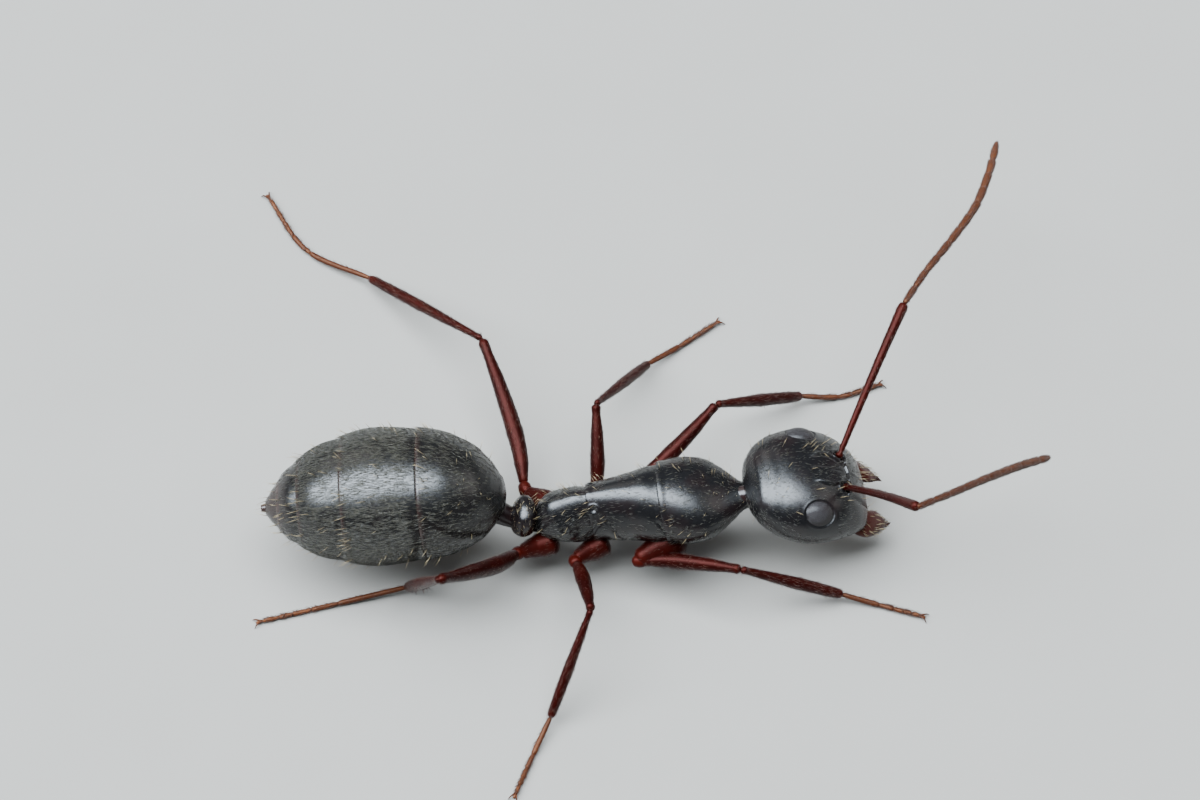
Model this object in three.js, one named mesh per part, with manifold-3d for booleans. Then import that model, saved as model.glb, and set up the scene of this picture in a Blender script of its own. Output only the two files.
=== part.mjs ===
// A worker carpenter ant (genus Camponotus), life size, standing with its jaws parted, its
// left feeler swung out and forward and its body turning slightly to its left.
// Millimetres. +X is forward, +Y is the ant's left and +Z is up. The origin is the middle
// of the ant's outer box, on the floor under it.
import * as THREE from 'three';
import { mergeVertices } from 'three/addons/utils/BufferGeometryUtils.js';
import Module from 'manifold-3d';

const wasm = await Module();
wasm.setup();

// ---- Driving dimensions -----------------------------------------------------------------

const GAP = 0.03;              // clearance between a piece and the neighbour that it is cut by
const LIMB_RADIUS = 0.25;      // legs and feelers are half a millimetre thick in these solids
const NESTED_RADIUS = 0.2;     // where a limb starts inside the end of the one before it
const LIMB_SIDES = 8;
const FLOOR = 0;

const MESOSOMA_TURN = 3.5;     // degrees that the middle body is turned to the left
const HEAD_CENTRE = [3.3, 0.25, 1.42];
const HEAD_PITCH = 22;         // degrees that the face is tipped down
const HEAD_TURN = 10;          // degrees that the head is turned to the left
const HEAD_REAR = -1.02;       // along the head's own length, from its middle
const HEAD_FRONT = 0.98;
const EYE_PLACE = [-0.1, 0.7, 0.35];
const EYE_HALF_SIZES = [0.25, 0.13, 0.21];
const EYE_LIFT = 52;           // degrees that each eye looks up from straight sideways

const GASTER_FRONT = [-1.48, 0.14, 1.88];
const GASTER_LENGTH = 3.84;
const GASTER_TURN = 0.5;       // degrees that its tip is swung to the left
const GASTER_DROOP = 6.4;      // degrees that its tip is lowered
const GASTER_HALF_WIDTH = 1.1;
const GASTER_HALF_HEIGHT = 1.03;
const GASTER_CUTS = [0, 0.34, 0.66, 0.85, 0.945, 1];
const GASTER_START = 0.004;    // its front point is left off, as no solid can end in nothing

// The bounding box's middle, measured from the middle of the thorax.
const BOX_MIDDLE = [0.8, 1.15];

// Legs: length of each stretch, in order from the body.
const LEG_LENGTHS = {
  front: { coxa: 0.88, trochanter: 0.2, femur: 1.59, tibia: 1.91, tarsus: 1.31 },
  middle: { coxa: 0.62, trochanter: 0.2, femur: 1.39, tibia: 1.9, tarsus: 1.41 },
  hind: { coxa: 0.66, trochanter: 0.2, femur: 2.53, tibia: 2.71, tarsus: 2.41 },
};
const HIPS = { front: [1.35, 0.3, 0.98], middle: [0.14, 0.3, 0.86], hind: [-0.66, 0.28, 0.9] };
const ANKLE_HEIGHT = 0.28;
const BALL_HEIGHT = 0.21;      // halfway along the foot, where it bends
const TOE_HEIGHT = 0.2;

// The stance. A coxa and a femur have a heading from +X towards +Y and a rise from level, in
// degrees. A tibia has a heading and reaches down to the ankle. A tarsus has one heading for
// each of its halves.
const STANCE = {
  front_left: { coxa: [148, -10], femur: [41, 15], tibia: 28, tarsus: [5, 18] },
  middle_left: { coxa: [119, -50], femur: [88, 33], tibia: 57, tarsus: [37, 35] },
  hind_left: { coxa: [141, -15], femur: [104, 9], tibia: 136, tarsus: [148, 121] },
  front_right: { coxa: [202, -16], femur: [344, 15.5], tibia: 2, tarsus: [347, 342] },
  middle_right: { coxa: [202, -18], femur: [280, 30], tibia: 241, tarsus: [244, 247] },
  hind_right: { coxa: [189, -20], femur: [230, 44], tibia: 115, tarsus: [190, 193] },
};

// Limb radii, from each stretch's start to its end.
const SCAPE_RADII = [0.25, 0.25, 0.26];
const TROCHANTER_RADII = [0.24, 0.24];
const TROCHANTER_START = 0.35; // share of its length that lies inside the coxa's end
const COXA_RADII = { front: [0.3, 0.3, 0.25], middle: [0.26, 0.27, 0.25], hind: [0.26, 0.27, 0.25] };
const FEMUR_RADII = [NESTED_RADIUS, 0.28, 0.25];
const TIBIA_RADII = [NESTED_RADIUS, 0.26, 0.25];

// ---- Materials --------------------------------------------------------------------------

function finish(color, roughness) {
  return new THREE.MeshStandardMaterial({ color, roughness, metalness: 0 });
}
const blackShell = () => finish(0x14130f, 0.32);
const redLeg = () => finish(0x3a0d09, 0.4);
const brownTip = () => finish(0x5a2a14, 0.45);
const eyeFinish = () => finish(0x0b0a0c, 0.2);

// ---- Shape helpers ----------------------------------------------------------------------

const vector = (values) => new THREE.Vector3(...values);
const radians = THREE.MathUtils.degToRad;

// A direction from a heading and a rise, in degrees.
function direction(heading, rise) {
  const level = Math.cos(radians(rise));
  const turn = radians(heading);
  return new THREE.Vector3(level * Math.cos(turn), level * Math.sin(turn), Math.sin(radians(rise)));
}

// Turns a closed geometry into a solid that can be cut.
function toSolid(geometry) {
  const bare = geometry.clone();
  bare.deleteAttribute('normal');
  bare.deleteAttribute('uv');
  const merged = mergeVertices(bare, 1e-5);
  return new wasm.Manifold(new wasm.Mesh({
    numProp: 3,
    vertProperties: new Float32Array(merged.attributes.position.array),
    triVerts: new Uint32Array(merged.index.array),
  }));
}

function toGeometry(solid) {
  const mesh = solid.getMesh();
  const geometry = new THREE.BufferGeometry();
  const places = new Float32Array(mesh.vertProperties);
  geometry.setAttribute('position', new THREE.BufferAttribute(places, 3));
  geometry.setIndex(new THREE.BufferAttribute(new Uint32Array(mesh.triVerts), 1));
  geometry.computeVertexNormals();
  return geometry;
}

// A smooth function through a few stations, each a place and a value.
function curveThrough(stations) {
  const spline = new THREE.CatmullRomCurve3(
    stations.map(([place, value]) => new THREE.Vector3(place, value, 0)), false, 'catmullrom', 0.5);
  const samples = spline.getPoints(stations.length * 12);
  return (place) => {
    const next = Math.max(1, samples.findIndex((point) => point.x >= place - 1e-9));
    const [a, b] = [samples[next - 1], samples[next]];
    const share = b.x > a.x ? (place - a.x) / (b.x - a.x) : 0;
    return a.y + (b.y - a.y) * THREE.MathUtils.clamp(share, 0, 1);
  };
}

// A body turned on an axis and then pressed to an oval that changes along it.
// section(place) gives the oval's middle height, half height and half width there.
function pressedBody({ from, to, steps, sides, section, lean = 0 }) {
  const profile = [new THREE.Vector2(0, 0)];
  for (let step = 0; step <= steps; step += 1) {
    profile.push(new THREE.Vector2(1, step / steps));
  }
  profile.push(new THREE.Vector2(0, 1));
  const geometry = new THREE.LatheGeometry(profile, sides);
  const position = geometry.attributes.position;
  for (let index = 0; index < position.count; index += 1) {
    const place = THREE.MathUtils.lerp(from, to, position.getY(index));
    const { middle, halfHeight, halfWidth } = section(place);
    const rise = halfHeight * position.getX(index);
    position.setXYZ(index, place + lean * rise, halfWidth * position.getZ(index), middle + rise);
  }
  return geometry;
}

// A stretch of limb: a round bar with domed ends whose radius swells along it.
function limb(start, end, radii, grow = 0) {
  const axis = new THREE.Vector3().subVectors(end, start);
  const length = axis.length();
  const startRadius = radii[0] + grow;
  const endRadius = radii[radii.length - 1] + grow;
  const profile = [new THREE.Vector2(0, -startRadius)];
  profile.push(new THREE.Vector2(startRadius * Math.SQRT1_2, -startRadius * Math.SQRT1_2));
  radii.forEach((radius, index) => {
    profile.push(new THREE.Vector2(radius + grow, (index / (radii.length - 1)) * length));
  });
  profile.push(new THREE.Vector2(endRadius * Math.SQRT1_2, length + endRadius * Math.SQRT1_2));
  profile.push(new THREE.Vector2(0, length + endRadius));
  const geometry = new THREE.LatheGeometry(profile, LIMB_SIDES);
  geometry.applyQuaternion(
    new THREE.Quaternion().setFromUnitVectors(new THREE.Vector3(0, 1, 0), axis.normalize()));
  return geometry.translate(...start);
}

// A bent limb: straight stretches joined at their domed ends. It starts narrower, so that
// the piece before it takes in its whole first dome.
function bentLimb(points, grow) {
  const stretches = points.slice(1).map((end, index) => {
    const startRadius = index ? LIMB_RADIUS : NESTED_RADIUS;
    return limb(points[index], end, [startRadius, LIMB_RADIUS], grow);
  });
  return toGeometry(stretches.map(toSolid).reduce((whole, next) => whole.add(next)));
}

// ---- The pieces, and what each one is cut clear of --------------------------------------

// Every maker takes the distance that its surface is grown by, so that a neighbour cut by
// the grown shape keeps the clearance.
const makers = new Map();
const group = new THREE.Group();

function addPiece(name, material, maker, cutBy = [], aboveFloor = false) {
  makers.set(name, maker);
  let solid = toSolid(maker(0));
  for (const other of cutBy) solid = solid.subtract(toSolid(makers.get(other)(GAP)));
  if (aboveFloor) solid = solid.intersect(toSolid(spaceAboveFloor()));
  const mesh = new THREE.Mesh(toGeometry(solid), material);
  mesh.name = name;
  group.add(mesh);
}

function spaceAboveFloor() {
  const size = 40;
  return new THREE.BoxGeometry(size, size, size).translate(0, 0, FLOOR + size / 2);
}

// ---- Middle body: pronotum, mesothorax, propodeum and petiole ---------------------------

const THORAX_TOP = curveThrough([
  [-1.0, 1.16], [-0.86, 1.44], [-0.5, 1.72], [0, 1.89], [0.6, 1.98], [1.1, 2.0],
  [1.6, 1.9], [1.95, 1.74], [2.3, 1.57], [2.42, 1.55]]);
const THORAX_BOTTOM = curveThrough([
  [-1.0, 0.92], [-0.7, 0.78], [0, 0.72], [0.8, 0.75], [1.4, 0.86], [1.9, 1.08],
  [2.3, 1.26], [2.42, 1.28]]);
const THORAX_HALF_WIDTH = curveThrough([
  [-1.0, 0.15], [-0.86, 0.31], [-0.5, 0.42], [0.15, 0.45], [0.6, 0.53], [1.1, 0.67],
  [1.45, 0.72], [1.8, 0.65], [2.05, 0.46], [2.3, 0.24], [2.42, 0.2]]);
const THORAX_SEAMS = [-1, -0.12, 1.02, 2.42];
const THORAX_LEAN = -0.16;     // its seams run down and forward

function thoraxStretch(from, to, steps) {
  return (grow) => pressedBody({
    from: from - grow,
    to: to + grow,
    steps,
    sides: 16,
    lean: THORAX_LEAN,
    section: (place) => {
      const inside = THREE.MathUtils.clamp(place, THORAX_SEAMS[0], THORAX_SEAMS[3]);
      const top = THORAX_TOP(inside) + grow;
      const bottom = THORAX_BOTTOM(inside) - grow;
      return {
        middle: (top + bottom) / 2,
        halfHeight: (top - bottom) / 2,
        halfWidth: THORAX_HALF_WIDTH(inside) + grow,
      };
    },
  }).rotateZ(radians(MESOSOMA_TURN));
}
addPiece('propodeum', blackShell(), thoraxStretch(THORAX_SEAMS[0], THORAX_SEAMS[1] - GAP, 6));
addPiece('mesothorax', blackShell(), thoraxStretch(THORAX_SEAMS[1], THORAX_SEAMS[2] - GAP, 6));
addPiece('pronotum', blackShell(), thoraxStretch(THORAX_SEAMS[2], THORAX_SEAMS[3], 8));

// The petiole is an upright scale, wider than it is long, with a stalk to the gaster.
const PETIOLE_PLACE = [-1.22, -0.02, 0.8];
const PETIOLE_STRETCH = [0.95, 1.3, 1];
const PETIOLE_HEIGHT = 0.74;
const PETIOLE_RADII = [[0, 0.19], [0.12, 0.24], [0.3, 0.25], [0.55, 0.21], [0.68, 0.13]];
const STALK_START = [-1.22, -0.02, 1.14];
const STALK_END = [-1.72, 0.08, 1.34];
const STALK_RADII = [0.15, 0.17];
function petiole(grow) {
  const profile = [new THREE.Vector2(0, -grow)];
  for (const [height, radius] of PETIOLE_RADII) {
    profile.push(new THREE.Vector2(radius + grow, height === 0 ? -grow : height));
  }
  profile.push(new THREE.Vector2(0, PETIOLE_HEIGHT + grow));
  const scale = new THREE.LatheGeometry(profile, 12)
    .rotateX(Math.PI / 2)
    .scale(...PETIOLE_STRETCH)
    .translate(...PETIOLE_PLACE);
  const stalk = limb(vector(STALK_START), vector(STALK_END), STALK_RADII, grow);
  return toGeometry(toSolid(scale).add(toSolid(stalk)));
}
addPiece('petiole', blackShell(), petiole, ['propodeum']);

// ---- Gaster: five tergites of one egg-shaped body ---------------------------------------

const GASTER_OUTLINE = curveThrough([
  [0, 0.0], [0.025, 0.3], [0.08, 0.56], [0.18, 0.8], [0.32, 0.96], [0.45, 1.0],
  [0.6, 0.97], [0.75, 0.83], [0.87, 0.6], [0.95, 0.34], [1, 0.1]]);
// How far its middle line lies above or below a straight line.
const GASTER_ARCH = curveThrough([
  [0, -0.2], [0.1, -0.13], [0.25, -0.04], [0.5, 0], [0.75, -0.02], [1, -0.1]]);

function gasterStretch(from, to, steps) {
  return (grow) => {
    const geometry = pressedBody({
      from: from - grow / GASTER_LENGTH,
      to: to + grow / GASTER_LENGTH,
      steps,
      sides: 18,
      section: (share) => {
        const inside = THREE.MathUtils.clamp(share, GASTER_START, 1);
        const width = GASTER_OUTLINE(inside);
        return {
          middle: GASTER_ARCH(inside),
          halfHeight: GASTER_HALF_HEIGHT * width + grow,
          halfWidth: GASTER_HALF_WIDTH * width + grow,
        };
      },
    });
    return geometry
      .scale(-GASTER_LENGTH, -1, 1)
      .rotateY(radians(-GASTER_DROOP))
      .rotateZ(radians(-GASTER_TURN))
      .translate(...GASTER_FRONT);
  };
}
const GASTER_STEPS = [9, 4, 3, 3, 2];
for (let index = 0; index < GASTER_STEPS.length; index += 1) {
  const from = GASTER_CUTS[index] + (index ? GAP / GASTER_LENGTH : 0);
  const maker = gasterStretch(from, GASTER_CUTS[index + 1], GASTER_STEPS[index]);
  addPiece(`gaster_segment_${index + 1}`, blackShell(), maker, index ? [] : ['petiole']);
}

// ---- Head -------------------------------------------------------------------------------

const HEAD_HALF_WIDTH = curveThrough([
  [-1.02, 0.26], [-0.92, 0.57], [-0.72, 0.77], [-0.4, 0.92], [-0.1, 0.98], [0.2, 0.96],
  [0.5, 0.88], [0.75, 0.77], [0.9, 0.65], [0.98, 0.5]]);
const HEAD_TOP = curveThrough([
  [-1.02, 0.12], [-0.92, 0.32], [-0.7, 0.5], [-0.3, 0.61], [0.1, 0.6], [0.5, 0.48],
  [0.8, 0.3], [0.98, 0.14]]);
const HEAD_BOTTOM = curveThrough([
  [-1.02, -0.14], [-0.92, -0.32], [-0.7, -0.46], [-0.2, -0.54], [0.4, -0.46], [0.98, -0.26]]);

function toHeadPlace(geometry) {
  return geometry
    .rotateY(radians(HEAD_PITCH))
    .rotateZ(radians(HEAD_TURN))
    .translate(...HEAD_CENTRE);
}

function headPoint(place) {
  return vector(place)
    .applyAxisAngle(new THREE.Vector3(0, 1, 0), radians(HEAD_PITCH))
    .applyAxisAngle(new THREE.Vector3(0, 0, 1), radians(HEAD_TURN))
    .add(vector(HEAD_CENTRE));
}

function headShell(grow) {
  return toHeadPlace(pressedBody({
    from: HEAD_REAR - grow,
    to: HEAD_FRONT + grow,
    steps: 11,
    sides: 20,
    section: (place) => {
      const inside = THREE.MathUtils.clamp(place, HEAD_REAR, HEAD_FRONT);
      const top = HEAD_TOP(inside) + grow;
      const bottom = HEAD_BOTTOM(inside) - grow;
      return {
        middle: (top + bottom) / 2,
        halfHeight: (top - bottom) / 2,
        halfWidth: HEAD_HALF_WIDTH(inside) + grow,
      };
    },
  }));
}

function eye(side) {
  return (grow) => {
    const geometry = new THREE.SphereGeometry(1, 10, 7);
    geometry.scale(...EYE_HALF_SIZES.map((half) => half + grow));
    geometry.rotateX(side * radians(EYE_LIFT));
    geometry.translate(EYE_PLACE[0], side * EYE_PLACE[1], EYE_PLACE[2]);
    return toHeadPlace(geometry);
  };
}
addPiece('eye_left', eyeFinish(), eye(1));
addPiece('eye_right', eyeFinish(), eye(-1));
addPiece('head', blackShell(), headShell, ['eye_left', 'eye_right', 'pronotum']);

// A jaw is a triangle in the face's plane with a row of teeth on its inner edge. The jaws
// are parted: each is turned outward about a hinge near the corner of the head.
const JAW = {
  hinge: [0.84, 0.58],
  opening: 38,
  root: 0.78,
  width: 0.68,
  bulge: 0.38,
  reach: 1.26,
  inset: 0.06,
  innerStart: 1.0,
  thickness: 0.26,
  level: -0.36,
  teeth: 5,
  toothDepth: 0.06,
  toothLean: 0.55,
};
function jaw(side) {
  return (grow) => {
    const outline = new THREE.Shape();
    outline.moveTo(JAW.root, side * JAW.width);
    outline.quadraticCurveTo(JAW.root + JAW.bulge, side * JAW.width, JAW.reach, side * JAW.inset);
    const toothLength = (JAW.reach - JAW.innerStart) / JAW.teeth;
    for (let tooth = 0; tooth < JAW.teeth; tooth += 1) {
      const tip = JAW.reach - tooth * toothLength;
      outline.lineTo(tip - toothLength * JAW.toothLean, side * (JAW.inset + JAW.toothDepth));
      outline.lineTo(tip - toothLength, side * JAW.inset);
    }
    outline.lineTo(JAW.root, side * 2 * JAW.inset);
    const geometry = new THREE.ExtrudeGeometry(outline, {
      depth: JAW.thickness + 2 * grow, bevelEnabled: false, curveSegments: 6 });
    geometry.translate(-JAW.hinge[0], -side * JAW.hinge[1], JAW.level - grow);
    geometry.rotateZ(side * radians(JAW.opening));
    geometry.translate(JAW.hinge[0], side * JAW.hinge[1], 0);
    return toHeadPlace(geometry);
  };
}
addPiece('mandible_left', redLeg(), jaw(1), ['head']);
addPiece('mandible_right', redLeg(), jaw(-1), ['head']);

// ---- Feelers ----------------------------------------------------------------------------

const FEELERS = {
  left: {
    socket: [0.45, 0.27, 0.62],
    elbow: [4.95, 2.91, 2.6],
    whip: [[5.73, 4.12, 2.45], [6.3, 5.2, 2.22], [6.54, 6.12, 2.0]],
  },
  right: {
    socket: [0.45, -0.27, 0.62],
    elbow: [4.97, -1.4, 3.64],
    whip: [[5.8, -0.75, 3.12], [6.67, 0.1, 2.2], [7.12, 0.57, 1.6]],
  },
};
for (const [side, feeler] of Object.entries(FEELERS)) {
  const socket = headPoint(feeler.socket);
  const elbow = vector(feeler.elbow);
  const scape = `antenna_scape_${side}`;
  addPiece(scape, redLeg(), (grow) => limb(socket, elbow, SCAPE_RADII, grow), ['head']);
  const whip = [elbow, ...feeler.whip.map(vector)];
  addPiece(`antenna_funiculus_${side}`, brownTip(),
    (grow) => bentLimb(whip, grow), [scape]);
}

// ---- Legs -------------------------------------------------------------------------------

function legJoints(name) {
  const [pair, side] = name.split('_');
  const sign = side === 'left' ? 1 : -1;
  const lengths = LEG_LENGTHS[pair];
  const stance = STANCE[name];
  const [hipX, hipY, hipZ] = HIPS[pair];
  const step = (start, [heading, rise], length) => (
    direction(heading, rise).multiplyScalar(length).add(start));
  const stepDown = (start, heading, length, height) => {
    const rise = THREE.MathUtils.radToDeg(Math.asin((height - start.z) / length));
    return step(start, [heading, rise], length);
  };
  const hip = new THREE.Vector3(hipX, sign * hipY, hipZ);
  const coxaEnd = step(hip, stance.coxa, lengths.coxa);
  const femurStart = step(coxaEnd, stance.femur, lengths.trochanter);
  const knee = step(femurStart, stance.femur, lengths.femur);
  const ankle = stepDown(knee, stance.tibia, lengths.tibia, ANKLE_HEIGHT);
  const ball = stepDown(ankle, stance.tarsus[0], lengths.tarsus / 2, BALL_HEIGHT);
  const toe = stepDown(ball, stance.tarsus[1], lengths.tarsus / 2, TOE_HEIGHT);
  return { hip, coxaEnd, femurStart, knee, ankle, ball, toe };
}

const BODY = ['pronotum', 'mesothorax', 'propodeum'];
for (const name of Object.keys(STANCE)) {
  const [pair] = name.split('_');
  const { hip, coxaEnd, femurStart, knee, ankle, ball, toe } = legJoints(name);
  const [trochanter, coxa, femur, tibia, tarsus] = ['trochanter', 'coxa', 'femur', 'tibia', 'tarsus']
    .map((piece) => `${piece}_${name}`);
  const trochanterStart = new THREE.Vector3().lerpVectors(coxaEnd, femurStart, TROCHANTER_START);
  const trochanterMaker = (grow) => limb(trochanterStart, femurStart, TROCHANTER_RADII, grow);
  const coxaMaker = (grow) => limb(hip, coxaEnd, COXA_RADII[pair], grow);
  const femurMaker = (grow) => limb(femurStart, knee, FEMUR_RADII, grow);
  const tibiaMaker = (grow) => limb(knee, ankle, TIBIA_RADII, grow);
  const tarsusMaker = (grow) => bentLimb([ankle, ball, toe], grow);
  addPiece(trochanter, redLeg(), trochanterMaker, BODY);
  addPiece(coxa, redLeg(), coxaMaker, [...BODY, trochanter]);
  addPiece(femur, redLeg(), femurMaker, [...BODY, trochanter, coxa]);
  addPiece(tibia, redLeg(), tibiaMaker, [femur], true);
  addPiece(tarsus, brownTip(), tarsusMaker, [tibia], true);
}

group.position.set(-BOX_MIDDLE[0], -BOX_MIDDLE[1], 0);

export default group;
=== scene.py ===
# The looks of a life-size worker carpenter ant. Shapes are worked out in millimetres in the
# ant's own frame: +X forward, +Y to its left, +Z up, and 0, 0 under the middle of its thorax.
# place() moves them to the frame of the CAD model, in metres.

import math

import bpy
import numpy as np
from mathutils import Matrix, Vector


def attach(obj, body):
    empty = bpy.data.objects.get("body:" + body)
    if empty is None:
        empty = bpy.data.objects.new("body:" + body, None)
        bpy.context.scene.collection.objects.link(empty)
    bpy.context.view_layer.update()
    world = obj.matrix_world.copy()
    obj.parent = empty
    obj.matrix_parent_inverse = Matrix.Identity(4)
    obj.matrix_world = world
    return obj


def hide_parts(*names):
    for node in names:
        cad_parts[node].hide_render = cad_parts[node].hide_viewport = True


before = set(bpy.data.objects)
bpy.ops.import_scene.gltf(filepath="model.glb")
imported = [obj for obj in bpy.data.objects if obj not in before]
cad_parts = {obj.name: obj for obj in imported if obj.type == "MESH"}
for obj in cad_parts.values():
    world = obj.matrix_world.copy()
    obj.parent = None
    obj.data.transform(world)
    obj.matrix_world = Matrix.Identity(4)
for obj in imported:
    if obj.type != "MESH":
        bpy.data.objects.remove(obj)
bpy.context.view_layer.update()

# ---- Driving dimensions, in millimetres and degrees ----

MILLIMETRE = 0.001      # in metres
BOX_MIDDLE = np.array([0.8, 1.15, 0.0])
SIDES = {"left": 1, "right": -1}

THORAX_TURN = 3.5
THORAX_SEAMS = (-1.0, -0.12, 1.02, 2.42)
THORAX_LEAN = -0.16

HEAD_CENTRE = np.array([3.3, 0.25, 1.42])
HEAD_PITCH = 22
HEAD_TURN = 10
HEAD_REAR = -1.02
HEAD_FRONT = 0.98
EYE_PLACE = np.array([-0.1, 0.71, 0.36])
EYE_HALF_SIZES = np.array([0.25, 0.15, 0.21])
EYE_LIFT = 52
SOCKET_PLACE = np.array([0.43, 0.27])

GASTER_FRONT = np.array([-1.48, 0.14, 1.88])
GASTER_LENGTH = 3.84
GASTER_TURN = 0.5
GASTER_DROOP = 6.4
GASTER_HALF_WIDTH = 1.1
GASTER_HALF_HEIGHT = 1.03
GASTER_CUTS = (0, 0.34, 0.66, 0.85, 0.945, 1)

LEG_LENGTHS = {
    "front": {"coxa": 0.88, "trochanter": 0.2, "femur": 1.59, "tibia": 1.91, "tarsus": 1.31},
    "middle": {"coxa": 0.62, "trochanter": 0.2, "femur": 1.39, "tibia": 1.9, "tarsus": 1.41},
    "hind": {"coxa": 0.66, "trochanter": 0.2, "femur": 2.53, "tibia": 2.71, "tarsus": 2.41},
}
HIPS = {"front": (1.35, 0.3, 0.98), "middle": (0.14, 0.3, 0.86), "hind": (-0.66, 0.28, 0.9)}
ANKLE_HEIGHT = 0.2
BALL_HEIGHT = 0.06
TOE_HEIGHT = 0.055
STANCE = {
    "front_left": {"coxa": (148, -10), "femur": (41, 15), "tibia": 28, "tarsus": (5, 18)},
    "middle_left": {"coxa": (119, -50), "femur": (88, 33), "tibia": 57, "tarsus": (37, 35)},
    "hind_left": {"coxa": (141, -15), "femur": (104, 9), "tibia": 136, "tarsus": (148, 121)},
    "front_right": {"coxa": (202, -16), "femur": (344, 15.5), "tibia": 2, "tarsus": (347, 342)},
    "middle_right": {"coxa": (202, -18), "femur": (280, 30), "tibia": 241, "tarsus": (244, 247)},
    "hind_right": {"coxa": (189, -20), "femur": (230, 44), "tibia": 115, "tarsus": (190, 193)},
}
COXA_RADIUS = {"front": 0.26, "middle": 0.2, "hind": 0.21}
FEMUR_RADIUS = {"front": 0.138, "middle": 0.128, "hind": 0.148}
TIBIA_RADIUS = {"front": 0.108, "middle": 0.095, "hind": 0.096}
FEMUR_BOW = {"front": 0.05, "middle": 0.03, "hind": 0.09}

FEELERS = {
    "left": {
        "elbow": (4.95, 2.91, 2.6),
        "whip": ((5.31, 3.5, 2.56), (5.73, 4.12, 2.45), (6.16, 4.84, 2.3), (6.42, 5.58, 2.15),
                 (6.58, 6.24, 2.0)),
    },
    "right": {
        "elbow": (4.97, -1.4, 3.64),
        "whip": ((5.5, -1.02, 3.35), (6.08, -0.49, 2.85), (6.67, 0.1, 2.2), (7.19, 0.64, 1.5)),
    },
}

random = np.random.default_rng(7)


# ---- Numbers and curves ----

def curve(*stations):
    """A smooth function through (place, value) stations, level beyond the ends."""
    places, values = np.array(stations, float).T
    slopes = np.gradient(values, places)

    def value(at):
        at = np.clip(at, places[0], places[-1])
        index = np.clip(np.searchsorted(places, at, side="right") - 1, 0, len(places) - 2)
        width = places[index + 1] - places[index]
        t = (at - places[index]) / width
        start, end = values[index], values[index + 1]
        return (
            (2 * t**3 - 3 * t**2 + 1) * start + (t**3 - 2 * t**2 + t) * width * slopes[index]
            + (3 * t**2 - 2 * t**3) * end + (t**3 - t**2) * width * slopes[index + 1])

    return value


def ease(low, high, at):
    """0 at low, 1 at high and smooth between, level beyond them."""
    t = np.clip((at - low) / (high - low), 0, 1)
    return t * t * (3 - 2 * t)


def mound(distance, width):
    """1 where the distance is 0, fading to nothing at about the width."""
    return np.exp(-2.5 * (distance / width) ** 2)


def unit(vectors):
    """The same directions, each 1 long."""
    vectors = np.asarray(vectors, float)
    return vectors / np.maximum(np.linalg.norm(vectors, axis=-1, keepdims=True), 1e-12)


def turned(points, axis, degrees):
    """Points turned about one of the axes, given by its letter."""
    turn = Matrix.Rotation(math.radians(degrees), 3, axis)
    return np.asarray(points, float) @ np.array(turn).T


def direction(heading, rise):
    """The way to a heading, from +X towards +Y, and a rise above level, in degrees."""
    heading, rise = math.radians(heading), math.radians(rise)
    level = math.cos(rise)
    return np.array([level * math.cos(heading), level * math.sin(heading), math.sin(rise)])


def full_turn(sides):
    """Angles spread evenly round a circle."""
    return np.linspace(0, 2 * math.pi, sides, endpoint=False)


def around(sides):
    """Angles round a body, 0 at its top and rising to its left, from -180 to 180 degrees."""
    angles = full_turn(sides)
    return np.where(angles > math.pi, angles - 2 * math.pi, angles)


def from_top(share_around):
    """How far round from the top on either side, 0.5 at the bottom."""
    return np.minimum(share_around, 1 - share_around)


def oval(angle, power):
    """A unit oval, 0 at the top: power 2 is round, less is narrow-topped, more is boxy."""
    rise, across = np.cos(angle), np.sin(angle)
    reach = (np.abs(rise) ** power + np.abs(across) ** power) ** (-1 / power)
    return across * reach, rise * reach


def place(points):
    """From the ant's frame, in millimetres, to the CAD model's, in metres."""
    return (np.asarray(points, float) - BOX_MIDDLE) * MILLIMETRE


def on_head(points):
    """From the head's own level frame to its place on the ant."""
    return turned(turned(points, "Y", HEAD_PITCH), "Z", HEAD_TURN) + HEAD_CENTRE


# ---- Meshes ----

def in_scene(name, data):
    """A new object in the scene for a mesh, lamp or camera."""
    thing = bpy.data.objects.new(name, data)
    bpy.context.scene.collection.objects.link(thing)
    return thing


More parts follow.
